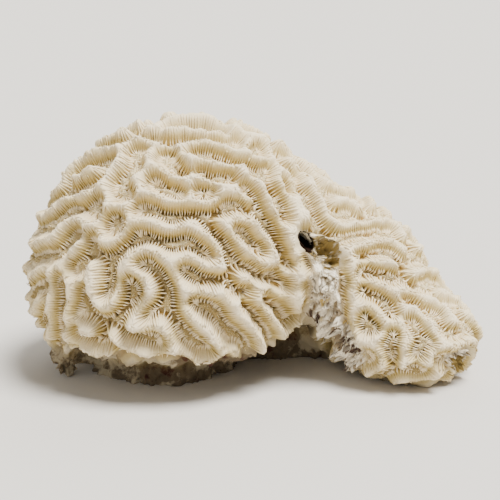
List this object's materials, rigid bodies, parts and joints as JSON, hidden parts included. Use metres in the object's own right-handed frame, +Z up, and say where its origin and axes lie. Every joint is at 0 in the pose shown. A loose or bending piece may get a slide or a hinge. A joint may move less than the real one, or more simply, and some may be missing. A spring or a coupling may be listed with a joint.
{
  "type": "brain coral skeleton",
  "caption": "Massive brain coral skeleton: a ridged dome with a lobe sloping off to one side, cut flat to stand on a shelf.",
  "frame": {"origin": "on the flat underside, under the middle of the colony's bounding box", "axes": "+X to the right of the front view, from the dome towards the lobe; +Y to the back; +Z up"},
  "size_m": [0.1203, 0.0737, 0.0674],
  "materials": {
    "coral_skeleton": "bare aragonite, matt and chalky, cream crests and ochre valleys, grey dead rock below"
  },
  "bodies": {
    "root": {"brain_coral": "coral_skeleton"}
  },
  "joints": []
}
